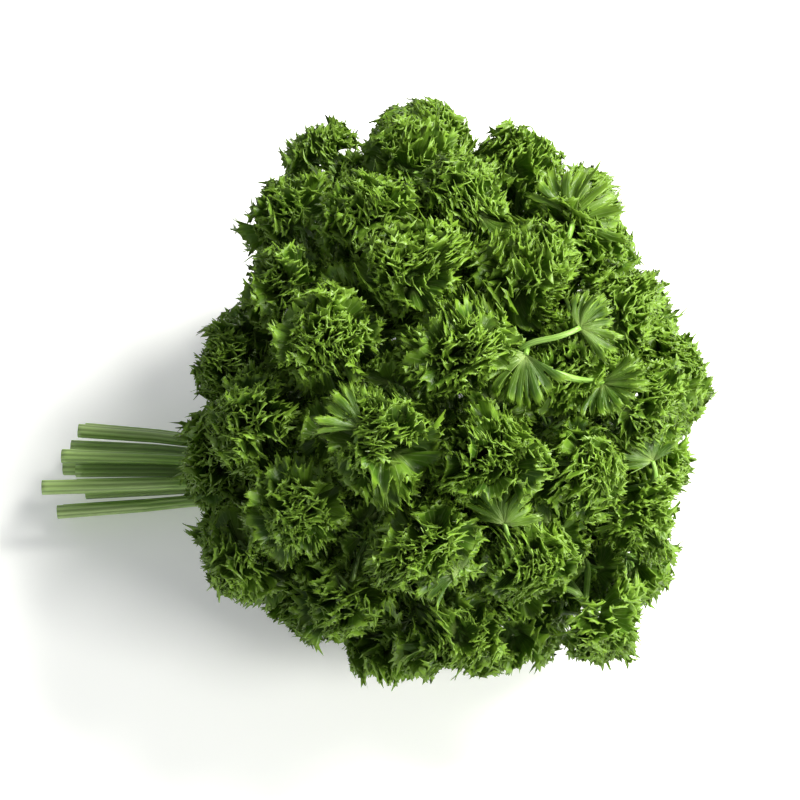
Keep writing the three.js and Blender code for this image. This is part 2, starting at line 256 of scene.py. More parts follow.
@dataclass
class LeafyHead:
    """The egg-shaped head: the rule that spreads the leaflets over it."""

    centre: Triple = (21.0, 0.0, 59.0)
    half: Triple = (73.0, 85.0, 59.0)
    axis_rise: float = 38.0
    outline_tilt: float = 24.0
    lowest_leaflet: float = 9.0
    leaflet_reach: float = 16.8
    outer_fold: float = 76.0
    clearance: float = 0.5
    cohesion: float = 0.008
    passes: int = 300
    crown_spread: float = 25.0
    bundle_x: float = -25.0
    bundle_z: float = 13.2
    bundle_room: float = 13.85
    side_count: int = 44
    side_length: float = 14.0
    side_tries: int = 900
    side_depth: float = 0.86
    side_lowest: float = 18.0
    side_clear: float = 30.0
    low_gaps: tuple[Triple, ...] = (
        (-3, -44, 60), (56, -27, 84), (-21, -21, 71), (67, -19, 73),
    )

    def direction(self, polar: float, around: float) -> np.ndarray:
        """The direction at an angle off the head's axis and an angle round it.

        Args:
            polar: Degrees off the axis.
            around: Degrees round it.

        Returns:
            The unit direction.
        """
        rise, off, turn = math.radians(self.axis_rise), math.radians(polar), math.radians(around)
        axis = np.array([math.cos(rise), 0.0, math.sin(rise)])
        up = np.array([-math.sin(rise), 0.0, math.cos(rise)])
        side = up * math.cos(turn) + np.array([0.0, math.sin(turn), 0.0])
        return axis * math.cos(off) + side * math.sin(off)

    def leaflets(self) -> list[Leaflet]:
        """Places every leaflet of the bunch.

        Returns:
            The leaflets, in the order of their stems.
        """
        made = self._first_places()
        bulges = self._bulges()
        for step in range(self.passes):
            grown = min(1.0, 0.5 + step / self.passes)
            for leaflet in made:
                self._settle(leaflet, bulges)
            self._draw_together(made)
            self._push_apart(made, grown)
        for leaflet in made:
            middle = np.array(leaflet.middle)
            leaflet.axis = unit((middle - self.centre) / np.array(self.half) ** 2)
            leaflet.root = middle - 0.5 * leaflet.length * leaflet.axis
            own = [other.middle for other in made if other.crown == leaflet.crown]
            leaflet.towards = (np.mean(own, axis=0) - middle) / self.crown_spread
        return made

    def side_leaflets(self, made: list[Leaflet]) -> list[Leaflet]:
        """Small leaflets in the widest gaps between the others.

        Args:
            made: The leaflets that are placed already.

        Returns:
            The small leaflets, each on the stem of the leaflet nearest to it.
        """
        bulges = self._bulges()
        places = []
        for k in range(self.side_tries):
            rise, turn = 1 - (2 * k + 1) / self.side_tries, GOLDEN_TURN * k
            flat = math.sqrt(1 - rise * rise)
            way = np.array([flat * math.cos(turn), flat * math.sin(turn), rise])
            place = way * self.half * (self.side_depth * self._swell(*way, bulges)) + self.centre
            off_bundle = math.hypot(place[1], place[2] - self.bundle_z)
            free = place[0] >= self.bundle_x or off_bundle >= self.side_clear
            if place[2] > self.side_lowest and free:
                places.append(place)
        spots = np.array(places)
        middles = np.array([leaflet.middle for leaflet in made])
        room = np.linalg.norm(spots[:, None] - middles[None], axis=2).min(axis=1)
        sides = []
        for k in range(self.side_count):
            wide = spots[int(room.argmax())]
            spot = np.array(self.low_gaps[k], dtype=float) if k < len(self.low_gaps) else wide
            nearest = made[int(np.linalg.norm(middles - spot, axis=1).argmin())]
            axis = unit((spot - self.centre) / np.array(self.half) ** 2)
            root = spot - 0.6 * self.side_length * axis
            crown, number = nearest.crown, INNER + 10 + k
            sides.append(Leaflet.added(crown, number, self.side_length, 700 + k, root, axis))
            room = np.minimum(room, np.linalg.norm(spots - spot, axis=1))
        return sides

    def _swell(self, x: float, y: float, z: float, bulges: list[Bulge]) -> float:
        """The share by which the outline swells in a unit direction.

        Args:
            x: The direction's share along X.
            y: Its share along Y.
            z: Its share along Z.
            bulges: The swellings of the outline.

        Returns:
            The share, 1 where nothing swells.
        """
        share = 1.0
        for bx, by, bz, push, width in bulges:
            angle = math.acos(max(-1.0, min(1.0, x * bx + y * by + z * bz)))
            share += push * math.exp(-((angle / width) ** 2))
        return share

    def _first_places(self) -> list[Leaflet]:
        """The leaflets round the middles of their crowns.

        Returns:
            The leaflets in their first places.
        """
        made = []
        for c, crown in enumerate(CROWNS):
            outward = self.direction(crown.polar, crown.around)
            for k in range(crown.leaflets):
                turn = 360 * k / (crown.leaflets - 1) + 360 * draw(c, 1)
                spread = self.crown_spread * (0.9 + 0.25 * draw(c, 10 + k)) if k else 0.0
                tilted = turned(outward, square_to(outward), spread)
                place = turned(tilted, outward, turn) * self.half + self.centre
                length = self.leaflet_reach * (0.93 + 0.14 * draw(c, 20 + k))
                share = 0.97 + 0.05 * draw(c, 30 + k) if k else 1.03
                radius = length * math.sin(math.radians(self.outer_fold))
                made.append(
                    Leaflet(c, k, crown.reach * share, length, radius, list(place), c * 10 + k)
                )
        return made

    def _bulges(self) -> list[Bulge]:
        """Direction, push and width in radians of each swelling of the outline.

        Returns:
            One row for each swelling.
        """
        tilt = math.radians(self.outline_tilt)
        rows = []
        for bulge in SWELLINGS:
            turn = math.radians(bulge.turn)
            x, y, width = math.cos(turn), math.sin(turn), math.radians(bulge.width)
            rows.append((x, y * math.cos(tilt), y * math.sin(tilt), bulge.push, width))
        return rows

    def _settle(self, leaflet: Leaflet, bulges: list[Bulge]) -> None:
        """Puts a leaflet back on the head, above the surface and clear of the bundle.

        Args:
            leaflet: The leaflet that is moved.
            bulges: The swellings of the outline.
        """
        (cx, cy, cz), (hx, hy, hz) = self.centre, self.half
        x, y, z = leaflet.middle
        x, y, z = (x - cx) / hx, (y - cy) / hy, (z - cz) / hz
        size = math.sqrt(x * x + y * y + z * z)
        x, y, z = x / size, y / size, z / size
        share = self._swell(x, y, z, bulges) * leaflet.reach
        x, y, z = cx + x * hx * share, cy + y * hy * share, cz + z * hz * share
        z = max(z, self.lowest_leaflet)
        if x < self.bundle_x:
            up = z - self.bundle_z
            off = math.hypot(y, up)
            room = self.bundle_room + leaflet.radius
            if off < room:
                y, up = y * room / off, up * room / off
                z = max(self.bundle_z + up, self.lowest_leaflet)
        leaflet.middle = [x, y, z]

    def _draw_together(self, made: list[Leaflet]) -> None:
        """Moves each leaflet a little towards the middle of its own crown.

        Args:
            made: The leaflets that are moved.
        """
        for c in range(len(CROWNS)):
            own = [leaflet for leaflet in made if leaflet.crown == c]
            mean = [sum(leaflet.middle[i] for leaflet in own) / len(own) for i in range(3)]
            for leaflet in own:
                leaflet.middle = [
                    p + (m - p) * self.cohesion for p, m in zip(leaflet.middle, mean)
                ]

    def _push_apart(self, made: list[Leaflet], grown: float) -> None:
        """Moves leaflets that are too near each other apart.

        Args:
            made: The leaflets that are moved.
            grown: The share of their full size that they have grown to.
        """
        for i, one in enumerate(made):
            a = one.middle
            for other in made[i + 1:]:
                b = other.middle
                gx, gy, gz = b[0] - a[0], b[1] - a[1], b[2] - a[2]
                room = grown * (one.radius + other.radius)
                if one.crown != other.crown:
                    room += self.clearance
                square = gx * gx + gy * gy + gz * gz
                if square < room * room:
                    apart = math.sqrt(square)
                    share = (room - apart) / 2 / apart
                    a[0] -= gx * share
                    a[1] -= gy * share
                    a[2] -= gz * share
                    b[0] += gx * share
                    b[1] += gy * share
                    b[2] += gz * share


class Path:
    """A smooth line through points, read by the share of its length."""

    def __init__(self, dense: np.ndarray) -> None:
        """Keeps the line's closely spaced points.

        Args:
            dense: The points, one in each row.
        """
        self.dense = dense
        steps = np.linalg.norm(np.diff(dense, axis=0), axis=1)
        self.along = np.concatenate([[0.0], np.cumsum(steps)])
        self.length = float(self.along[-1])

    @classmethod
    def through(cls, points: Sequence[np.ndarray], per_span: int = 40) -> "Path":
        """A centripetal Catmull-Rom line through the points.

        Args:
            points: Two or more points.
            per_span: Places worked out between two points.

        Returns:
            The path.
        """
        knots = [2 * points[0] - points[1], *points, 2 * points[-1] - points[-2]]
        share = np.linspace(0, 1, per_span, endpoint=False)[:, None]
        spans = []
        for a, b, c, d in zip(knots, knots[1:], knots[2:], knots[3:]):
            before, here, after = (
                math.sqrt(float(np.linalg.norm(q - p))) for p, q in ((a, b), (b, c), (c, d))
            )
            leave = ((b - a) / before - (c - a) / (before + here) + (c - b) / here) * here
            arrive = ((c - b) / here - (d - b) / (here + after) + (d - c) / after) * here
            cubic = 2 * b - 2 * c + leave + arrive
            square = -3 * b + 3 * c - 2 * leave - arrive
            spans.append(b + leave * share + square * share**2 + cubic * share**3)
        return cls(np.vstack([*spans, points[-1][None, :]]))

    @classmethod
    def bowed(cls, start: np.ndarray, bend: np.ndarray, end: np.ndarray) -> "Path":
        """A quadratic curve from start to end, drawn towards the bend."""
        t = np.linspace(0, 1, 33)[:, None]
        return cls(start * (1 - t) ** 2 + 2 * bend * t * (1 - t) + end * t**2)

    def at(self, share: np.ndarray | float) -> np.ndarray:
        """The point or points at shares of the length.

        Args:
            share: One share or several, from 0 to 1.

        Returns:
            One point for one share, else a row for each.
        """
        want = np.atleast_1d(share) * self.length
        found = np.stack([np.interp(want, self.along, self.dense[:, i]) for i in range(3)], 1)
        return found[0] if np.isscalar(share) else found

    def heading(self, share: float) -> np.ndarray:
        """The unit direction of the line at a share of its length."""
        return unit(self.at(min(1.0, share + 0.01)) - self.at(max(0.0, share - 0.01)))


@dataclass
class StemBundle:
    """The bundle of stalks: where each stem runs from its cut end to its crown."""

    centre_z: float = 13.2
    flatness: float = 0.76
    radii: Triple = (0.0, 5.9, 10.7)
    splay_at_cut: float = 1.38
    neck_x: float = -50.0
    neck_lead: float = 0.42
    root_depth: float = 0.7
    branch_bow: float = 4.0
    core_depth: float = 14.0
    fork_shares: tuple[float, float] = (0.75, 0.875)

    def place(self, crown: Crown, x: float, splay: float) -> np.ndarray:
        """The stem's middle in the bundle's section at x.

        Args:
            crown: The stem's crown.
            x: Where the section lies.
            splay: How far the stems stand apart there.

        Returns:
            The place.
        """
        radius, turn = self.radii[crown.ring] * splay, math.radians(crown.around)
        up = radius * self.flatness * math.cos(turn)
        return np.array([x, radius * math.sin(turn), self.centre_z + up])

    def stem(self, crown: Crown, own: list[Leaflet]) -> Path:
        """The line of one stem, from its cut end into its first leaflet.

        Args:
            crown: The stem's crown.
            own: The stem's leaflets.

        Returns:
            The stem's path.
        """
        cut = self.place(crown, crown.cut_x, self.splay_at_cut)
        half_way = (crown.cut_x + self.neck_x) / 2
        middle = self.place(crown, half_way, (1 + self.splay_at_cut) / 2)
        neck = self.place(crown, self.neck_x, 1.0)
        crown_middle = sum(leaflet.root for leaflet in own) / len(own)
        reach = self.neck_lead * float(np.linalg.norm(crown_middle - neck))
        lead = neck + np.array([reach, 0.0, 0.0])
        inside = [
            neck * (1 - t) ** 2 + 2 * lead * t * (1 - t) + crown_middle * t**2
            for t in (0.3, 0.6, 0.8)
        ]
        end = own[0].root + own[0].axis * self.root_depth
        return Path.through([cut, middle, neck, *inside, end])

    def branch(self, stem: Path, leaflet: Leaflet) -> Path:
        """The line of a side branch from its fork into its leaflet.

        Args:
            stem: The stem's path.
            leaflet: The leaflet at the branch's end.

        Returns:
            The branch's path.
        """
        fork = stem.at(self.fork_shares[leaflet.number % 2])
        end = leaflet.root + leaflet.axis * self.root_depth
        bend = (fork + end) / 2 + stem.heading(0.85) * self.branch_bow
        return Path.bowed(fork, bend, end)


@dataclass(frozen=True)
class Taper:
    """A tube's radius in millimetres and how much of it is lost at the end, and its faces."""

    start: float
    loss: float
    sides: int
    steps: int

    def radius(self, share: np.ndarray) -> np.ndarray:
        """The radius at shares of the length."""
        return self.start - self.loss * share


BRANCH = Taper(1.05, 0.25, 10, 12)
SIDE_ARM = Taper(0.85, 0.2, 8, 8)
OPEN_STALK = Taper(0.95, 0.25, 12, 20)
TWIG = Taper(0.75, 0.35, 5, 3)


class Slot(Enum):
    """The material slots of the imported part."""

    LEAF = "leaf"


class PlantMesh:
    """A mesh that is put together from grids bent by formulas."""

    RIB_HEIGHT: float = 0.075  # of the radius
    OVAL: float = 0.03  # how much wider one way than the other a ribbed stalk is
    RIM: float = 0.88  # width of the end face's inner ring, of the radius
    RIM_DEPTH: float = 0.36  # how deep the middle of an end is sunk, of the radius

    def __init__(self) -> None:
        """Starts an empty mesh with a UV map and a tone for each vertex."""
        self.mesh = bmesh.new()
        self.mesh.loops.layers.uv.new("UVMap")
        self.tone = self.mesh.verts.layers.float.new("tone")

    def flat_grid(self, columns: int, rows: int, edge_cuts: int = 0) -> list[bmesh.types.BMVert]:
        """Adds a flat grid from -1 to 1, with its far edge cut finer.

        Args:
            columns: Faces across.
            rows: Faces along.
            edge_cuts: Cuts in each edge of the far side.

        Returns:
            The grid's vertices.
        """
        made = bmesh.ops.create_grid(
            self.mesh, x_segments=columns, y_segments=rows, size=1, calc_uvs=True
        )["verts"]
        if not edge_cuts:
            return made
        far = [
            edge for edge in {edge for vert in made for edge in vert.link_edges}
            if all(vert.co.y > 0.999 for vert in edge.verts)
        ]
        far.sort(key=lambda edge: edge.verts[0].co.x + edge.verts[1].co.x)
        bmesh.ops.subdivide_edges(self.mesh, edges=far, cuts=edge_cuts)
        return list(self.mesh.verts)

    def bend(self, made: list[bmesh.types.BMVert], formula: Formula, tone: float) -> None:
        """Moves the vertices of a flat grid by a formula.

        Args:
            made: The grid's vertices.
            formula: Places in millimetres, from the share across and the share along.
            tone: How light the piece's colour is, from 0 to 1: its own colour, and on the leaves also
                painted light.
        """
        flat = np.array([vert.co for vert in made])
        across, along = (flat[:, 0] + 1) / 2, (flat[:, 1] + 1) / 2
        places = (swayed(formula(across, along)) + CENTRE_SHIFT) * METRE
        span = LIFT_HEIGHT - LEAST_HEIGHT
        lifted = LEAST_HEIGHT + span * np.exp((places[:, 2] - LIFT_HEIGHT) / span)
        places[:, 2] = np.where(places[:, 2] < LIFT_HEIGHT, lifted, places[:, 2])
        for vert, place in zip(made, places):
            vert.co = place
            vert[self.tone] = tone

    def add_copy(self, pattern: bpy.types.Mesh, formula: Formula, tone: float) -> None:
        """Adds a flat pattern mesh and bends it.

        Args:
            pattern: The flat mesh, which stays as it is.
            formula: Places in millimetres, from the share across and the share along.
            tone: How light the piece's colour is: its own colour, and on the leaves also painted light.
        """
        before = len(self.mesh.verts)
        self.mesh.from_mesh(pattern)
        self.mesh.verts.ensure_lookup_table()
        self.bend(self.mesh.verts[before:], formula, tone)

    def tube(self, path: Path, taper: Taper, tone: float, ribs: int = 0) -> None:
        """Adds a closed tube along a path.

        Args:
            path: The tube's middle line.
            taper: Its radius and its faces, without the two rings that close each end.
            tone: The strength of the tube's own colour.
            ribs: Soft ridges round a stalk, or 0.
        """
        steps = taper.steps
        shares = np.linspace(0, 1, steps + 1)
        radii = taper.radius(shares)
        centres = path.at(shares)
        headings = np.gradient(centres, axis=0)
        headings /= np.linalg.norm(headings, axis=1)[:, None]
        ups = [square_to(headings[0])]
        for heading in headings[1:]:
            ups.append(unit(ups[-1] - heading * np.dot(ups[-1], heading)))
        ups_at, rights = np.array(ups), np.cross(headings, np.array(ups))
        rings = np.concatenate([[0, 0], np.arange(steps + 1), [steps, steps]])
        open_share = np.concatenate([[0, self.RIM], np.ones(steps + 1), [self.RIM, 0]])
        sink = np.concatenate([[self.RIM_DEPTH, 0.0], np.zeros(steps + 1), [0.0, 0.0]])
        size = radii[rings] * open_share

        def wrap(across: np.ndarray, along: np.ndarray) -> np.ndarray:
            """The places round and along the tube.

            Args:
                across: Shares round the tube.
                along: Shares along it.

            Returns:
                The places in millimetres.
            """
            row = np.round(along * (steps + 4)).astype(int)
            turn = 2 * np.pi * across
            ridge = self.RIB_HEIGHT * np.cos(ribs * turn) - self.OVAL * np.cos(turn * 2)
            radius = size[row] * (1 + (ridge if ribs else 0 * turn))
            ring = rings[row]
            off = ups_at[ring] * np.cos(turn)[:, None] + rights[ring] * np.sin(turn)[:, None]
            deep = headings[ring] * (sink[row] * radii[ring])[:, None]
            return centres[ring] + off * radius[:, None] + deep

        made = self.flat_grid(taper.sides, steps + 4)
        self.bend(made, wrap, tone)
        bmesh.ops.remove_doubles(self.mesh, verts=made, dist=1e-7)

    def piece(self, name: str, node: str, finish: bpy.types.Material) -> bpy.types.Object:
        """Ends the mesh and puts it in the frame in the place of a node.

        Args:
            name: The piece's name.
            node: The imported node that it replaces.
            finish: Its material.

        Returns:
            The new object.
        """
        data = bpy.data.meshes.new(name)
        for face in self.mesh.faces:
            face.smooth = True
        self.mesh.to_mesh(data)
        self.mesh.free()
        data.materials.append(finish)
        made = bpy.data.objects.new(name, data)
        bpy.context.scene.collection.objects.link(made)
        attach(made, "root")
        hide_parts(node)
        log.info("%s: %d faces", name, len(data.polygons))
        return made


@dataclass(frozen=True)
class Lobe:
    """One curled fan of a leaflet."""

    polar: float
    around: float
    twist: float
    size: float
    seed: int


@dataclass(frozen=True)
class Ring:
    """Fans that stand round a leaflet's axis: how many, how far off it, how twisted, how large."""

    count: int
    polar: float
    twist: float
    size: float


@dataclass
class CurlyLeaflet:
    """The curled fans of one leaflet: their edges part into small toothed hands that bend."""

    columns: int = 24
    edge_cuts: int = 5
    row_shares: tuple[float, ...] = (0.0, 0.45, 0.77, 1.0)
    apex: float = 5.2
    fullness: float = 1.07
    base_share: float = 0.14
    half_angle: float = 66.0
    hands: float = 24.0
    bend_start: float = 0.76
    bend: float = 1.85
    fold: float = 0.23
    folds: float = 5.0
    ruffle: float = 0.06
    curl: float = 0.3
    cleft: float = 0.84
    blunt: float = 0.5
    tip: float = 0.995
    notch: float = 0.885
    stray: float = 0.3
    merge: float = 0.1
    evenness: float = 0.5
    rings: tuple[Ring, ...] = (
        Ring(3, 14.0, 85.0, 0.93),
        Ring(5, 36.0, 85.0, 0.9),
        Ring(7, 62.0, 72.0, 1.05),
        Ring(4, 94.0, 70.0, 1.05),
    )
    inner_rings: tuple[Ring, ...] = (Ring(1, 20.0, 60.0, 1.0), Ring(4, 66.0, 50.0, 1.05))

    @property
    def rows(self) -> int:
        """Faces along a fan."""
        return len(self.row_shares) - 1

    def pattern(self) -> bpy.types.Mesh:
        """The flat grid that every fan is bent from.

        Returns:
            A mesh that is in no object.
        """
        mesh = PlantMesh()
        mesh.flat_grid(self.columns, self.rows, self.edge_cuts)
        data = bpy.data.meshes.new("flat_fan")
        mesh.mesh.to_mesh(data)
        mesh.mesh.free()
        return data

    def lobes(self, leaflet: Leaflet) -> list[Lobe]:
        """The fans of one leaflet, in rings round its axis.

        Args:
            leaflet: The leaflet.

        Returns:
            The fans.
        """
        chance = np.random.default_rng(1000 + leaflet.seed)
        start = chance.uniform(0, 360)
        made = []
        rings = self.rings if leaflet.number < INNER else self.inner_rings
        for number, ring in enumerate(rings):
            for k in range(ring.count):
                step = (k + chance.uniform(-0.25, 0.25)) * 360 / ring.count
                made.append(
                    Lobe(
                        polar=ring.polar + chance.uniform(-8, 8),
                        around=start + 50 * number + step,
                        twist=chance.uniform(-ring.twist, ring.twist),
                        size=ring.size * chance.uniform(0.86, 1.08),
                        seed=leaflet.seed * 40 + len(made),
                    )
                )
        return made

    def frame_of(self, leaflet: Leaflet, lobe: Lobe) -> Frame:
        """Apex, forward, across and thickness directions of a fan.

        Args:
            leaflet: The leaflet that the fan grows on.
            lobe: The fan.

        Returns:
            The fan's frame.
        """
        side = turned(square_to(leaflet.axis), leaflet.axis, lobe.around)
        off = math.radians(lobe.polar)
        forward = leaflet.axis * math.cos(off) + side * math.sin(off)
        tangent = np.cross(leaflet.axis, side)
        across = turned(tangent, forward, lobe.twist)
        lean = unit(leaflet.axis * 0.6 + forward * 0.5)
        apex = leaflet.root + lean * self.apex * (0.8 + 0.4 * draw(lobe.seed, 3))
        return apex, forward, across, np.cross(forward, across)

    def fan(self, leaflet: Leaflet, lobe: Lobe) -> Formula:
        """The formula of one fan's vertices.

        Args:
            leaflet: The leaflet that the fan grows on.
            lobe: The fan.

        Returns:
            A formula from shares across and along to places.
        """
        frame = self.frame_of(leaflet, lobe)
        reach = (leaflet.length * self.fullness - self.apex) * lobe.size
        inward = float(np.dot(frame[1], leaflet.towards))
        reach *= 0.94 + 0.13 * draw(leaflet.seed, 9) + self.merge * inward
        return self.sheet(frame, reach, lobe.seed)

    def sheet(self, frame: Frame, reach: float, seed: int) -> Formula:
        """The formula of a toothed fan in any place.

        Args:
            frame: The fan's apex and directions.
            reach: How far it reaches from its apex.
            seed: Seed of its own chances.

        Returns:
            A formula from shares across and along to places.
        """
        chance = np.random.default_rng(seed)
        apex, forward, across, thick = frame
        half = math.radians(self.half_angle * chance.uniform(0.85, 1.1))
        hands = self.hands * chance.uniform(0.85, 1.15)
        folds = self.folds * chance.uniform(0.8, 1.2)
        phases = chance.uniform(0, 2 * math.pi, 4)
        lean, sway = chance.uniform(-0.2, 0.2), chance.uniform(-0.25, 0.25)
        start = self.bend_start

        def surface(u: np.ndarray, v: np.ndarray) -> np.ndarray:
            """The places on the uncut fan.

            Args:
                u: Shares across, from -1 to 1.
                v: Shares along, from 0 to 1.

            Returns:
                The places in millimetres.
            """
            phase = np.pi / 2 * hands * u + phases[0]
            swing = np.sin(phase)
            grown = v**1.5
            past = np.clip((v - start) / (1 - start), 0, None)
            turn = self.bend * (1 + 0.25 * np.sin(0.61 * phase + phases[1])) * swing
            turn = np.where(np.abs(turn) < 1e-3, 1e-3, turn)
            rise = np.minimum(v, start) + (1 - start) * np.sin(turn * past) / turn
            aside = (1 - start) * (1 - np.cos(turn * past)) / turn + self.ruffle * grown * swing
            aside = aside + lean * v**2 + sway * u * np.abs(u) * v
            slow = np.pi / 2 * folds * u + phases[3]
            folded = np.sin(slow) + 0.3 * np.sin(2.3 * slow + phases[2])
            aside = aside + self.fold * v**1.3 * folded
            narrow = self.curl * np.sin(2 * phase) * half * 2 / (np.pi * hands) * grown
            angle = half * u - narrow
            radius = reach * (self.base_share + (1 - self.base_share) * rise)
            radius = radius * (1 + 0.06 * np.sin(0.8 * phase + phases[2]) * grown)
            return (
                apex
                + (radius * np.cos(angle))[:, None] * forward
                + (radius * np.sin(angle))[:, None] * across
                + (reach * aside)[:, None] * thick
            )

        fine = np.linspace(-1, 1, 500)
        edge_line = surface(fine, np.full_like(fine, 0.92))
        run = np.concatenate([[0.0], np.cumsum(np.linalg.norm(np.diff(edge_line, axis=0), axis=1))])
        steps = self.columns * (self.edge_cuts + 1)
        even = np.interp(np.linspace(0, run[-1], steps + 1), run, fine)
        spread = even * self.evenness + np.linspace(-1, 1, steps + 1) * (1 - self.evenness)
        cut = self._cut(np.pi / 2 * hands * spread + phases[0], chance)
        shares = np.array(self.row_shares)
        stray = np.where(np.arange(steps + 1) % 2, self.stray, 0.1)
        jitter = np.clip(chance.normal(0, 1, (steps + 1, 3)), -1.7, 1.7) * stray[:, None]

        def formula(share_across: np.ndarray, share_along: np.ndarray) -> np.ndarray:
            """Places of the grid's vertices on the toothed fan.

            Args:
                share_across: Shares across, from 0 to 1.
                share_along: Shares along, from 0 to 1.

            Returns:
                The places in millimetres.
            """
            column = np.round(share_across * steps).astype(int)
            row = np.round(share_along * self.rows).astype(int)
            made = surface(spread[column], shares[row] * cut[column])
            return made + jitter[column] * (shares[row] ** 6)[:, None]

        return formula

    def _cut(self, phase: np.ndarray, chance: np.random.Generator) -> np.ndarray:
        """How far each column reaches: teeth and notches by turns, and a cleft between the hands.

        Args:
            phase: How far each column is round the waves of the hands.
            chance: The fan's own chances.

        Returns:
            The reach of each column, as a share of the fan's.
        """
        fullness = np.abs(np.sin(phase)) ** self.blunt
        hand = np.floor(phase / np.pi).astype(int)
        size = chance.uniform(0.93, 1.01, 60)[(hand - hand.min()) % 60]
        teeth = np.array([self.notch, self.tip])[np.arange(len(phase)) % 2]
        teeth = teeth * size + chance.uniform(-0.03, 0.03, len(phase))
        return self.cleft + (teeth - self.cleft) * fullness


@dataclass(frozen=True)
class OpenLeaf:
    """A leaf that lies open on the head, with three fans and a pale stalk in plain sight."""

    crown: int
    stalk: tuple[Triple, ...]
    heading: Triple
    length: float
    spread: float = 50.0
    sink: float = 3.0

    @property
    def face(self) -> np.ndarray:
        """The direction that the leaf's upper side looks in."""
        return unit(np.array([0.0, -0.55, 0.84]))

    @property
    def points(self) -> list[np.ndarray]:
        """The points of its stalk, sunk a little into the head."""
        return [np.array(point, dtype=float) - self.sink * self.face for point in self.stalk]

    def frames(self) -> list[Frame]:
        """Apex, forward, across and thickness directions of its fans.

        Returns:
            A frame for each fan.
        """
        foot, face = self.points[-1], self.face
        ahead = np.array(self.heading)
        ahead = unit(ahead - face * np.dot(ahead, face))
        made = []
        for k in (-1, 0, 1):
            forward = unit(turned(ahead, face, self.spread * k) - 0.18 * face * (1 - abs(k)))
            normal = unit(face - forward * np.dot(face, forward))
            made.append((foot - forward * 0.5, forward, np.cross(normal, forward), normal))
        return made


OPEN_LEAVES = [
    OpenLeaf(5, ((-8, -48, 86), (-5, -53, 102), (-4, -46, 110)), (-0.05, 0.84, 0.55), 14.0, 50.0, 1.0),
    OpenLeaf(
        0, ((36, -26, 100), (40, -25, 118), (50, -22, 121), (58, -19, 121)), (0.95, 0.26, 0.17), 12.5
    ),
    OpenLeaf(0, ((38, -22, 104), (41, -24, 117), (41, -28, 118)), (-0.35, -0.78, -0.52), 14.0),
    OpenLeaf(
        0, ((44, -26, 104), (49, -29, 115), (57, -30, 113), (64, -30, 108)), (0.88, -0.4, -0.26), 12.5
    ),
    OpenLeaf(2, ((50, 12, 98), (55, 19, 109), (59, 27, 108)), (0.4, 0.77, 0.45), 18.5, 44.0),
    OpenLeaf(4, ((74, -42, 70), (79, -46, 82), (79, -42, 88)), (-0.3, 0.8, 0.52), 12.5),
    OpenLeaf(5, ((37, -64, 80), (37, -72, 90), (37, -68, 97)), (-0.1, 0.84, 0.54), 12.5),
    OpenLeaf(5, ((25, -64, 76), (26, -74, 83), (24, -80, 89)), (-0.9, 0.36, 0.24), 14.0),
]


